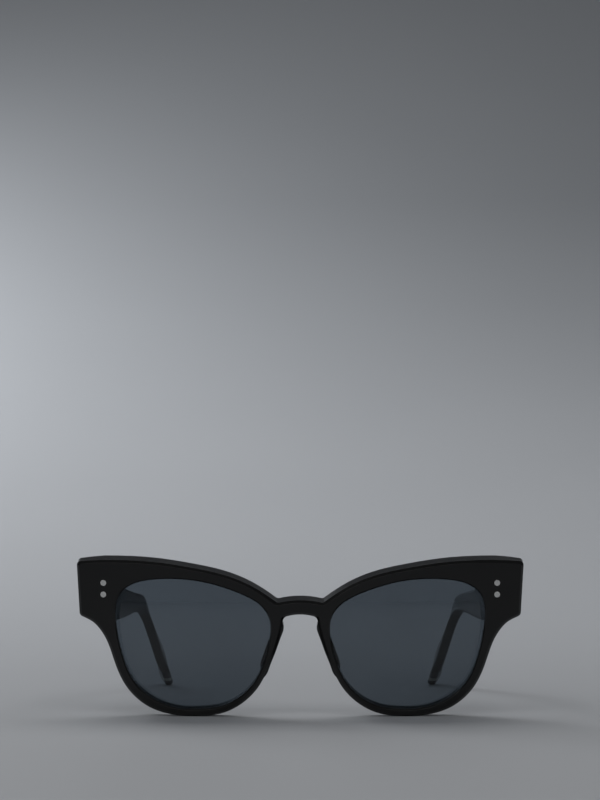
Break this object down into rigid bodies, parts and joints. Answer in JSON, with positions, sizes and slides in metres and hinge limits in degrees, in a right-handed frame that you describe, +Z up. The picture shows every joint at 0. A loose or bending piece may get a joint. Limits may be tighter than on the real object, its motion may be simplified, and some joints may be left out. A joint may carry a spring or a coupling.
{
  "type": "cat eye sunglasses",
  "caption": "Black acetate cat eye sunglasses with smoke lenses, a keyhole bridge with glued nose pads, riveted barrel hinges and folding temples with layered tips, standing open.",
  "frame": {"origin": "middle of the bounding box seen from above, on the plane the two rims and the two temple tips stand on", "axes": "+X towards the wearer's left, -Y the way the lenses face, +Z up; the sunglasses stand open"},
  "size_m": [0.1456, 0.1398, 0.052],
  "materials": {
    "black_acetate": "tumbled and polished black cellulose acetate, fine scuffs",
    "smoke_lens": "solid grey smoke tint, hard coated, glossy",
    "pad_acetate": "polished black acetate pad, slightly softer shine",
    "hinge_metal": "nickel silver, satin with bright knuckle edges",
    "screw_metal": "turned stainless steel",
    "rivet_metal": "polished silver-coloured rivet, softly worn",
    "core_wire": "drawn nickel silver wire",
    "smoke_acetate": "smoke grey acetate, polished",
    "pale_acetate": "pale ivory acetate, polished",
    "slate_acetate": "slate acetate, polished"
  },
  "bodies": {
    "front": {"frame_front": "black_acetate", "lens_left": "smoke_lens", "lens_right": "smoke_lens", "nose_pad_left": "pad_acetate", "nose_pad_right": "pad_acetate", "front_hinge_leaf_left": "hinge_metal", "front_hinge_leaf_right": "hinge_metal", "hinge_screw_left": "screw_metal", "hinge_screw_right": "screw_metal", "front_rivet_upper_left": "rivet_metal", "front_rivet_upper_right": "rivet_metal", "front_rivet_lower_left": "rivet_metal", "front_rivet_lower_right": "rivet_metal"},
    "temple_left": {"temple_left": "black_acetate", "temple_core_left": "core_wire", "temple_hinge_leaf_left": "hinge_metal", "temple_rivet_upper_left": "rivet_metal", "temple_rivet_lower_left": "rivet_metal", "tip_smoke_band_left": "smoke_acetate", "tip_pale_band_left": "pale_acetate", "tip_cap_left": "slate_acetate"},
    "temple_right": {"temple_right": "black_acetate", "temple_core_right": "core_wire", "temple_hinge_leaf_right": "hinge_metal", "temple_rivet_upper_right": "rivet_metal", "temple_rivet_lower_right": "rivet_metal", "tip_smoke_band_right": "smoke_acetate", "tip_pale_band_right": "pale_acetate", "tip_cap_right": "slate_acetate"}
  },
  "joints": [
    {"name": "temple_fold_left", "type": "hinge", "parent": "front", "child": "temple_left", "pos_m": [0.06665, -0.05355, 0.04215], "axis": [0, -0.0829, 0.9966], "range_deg": [0, 82]},
    {"name": "temple_fold_right", "type": "hinge", "parent": "front", "child": "temple_right", "pos_m": [-0.06665, -0.05355, 0.04215], "axis": [0, 0.0829, -0.9966], "range_deg": [0, 76]}
  ]
}
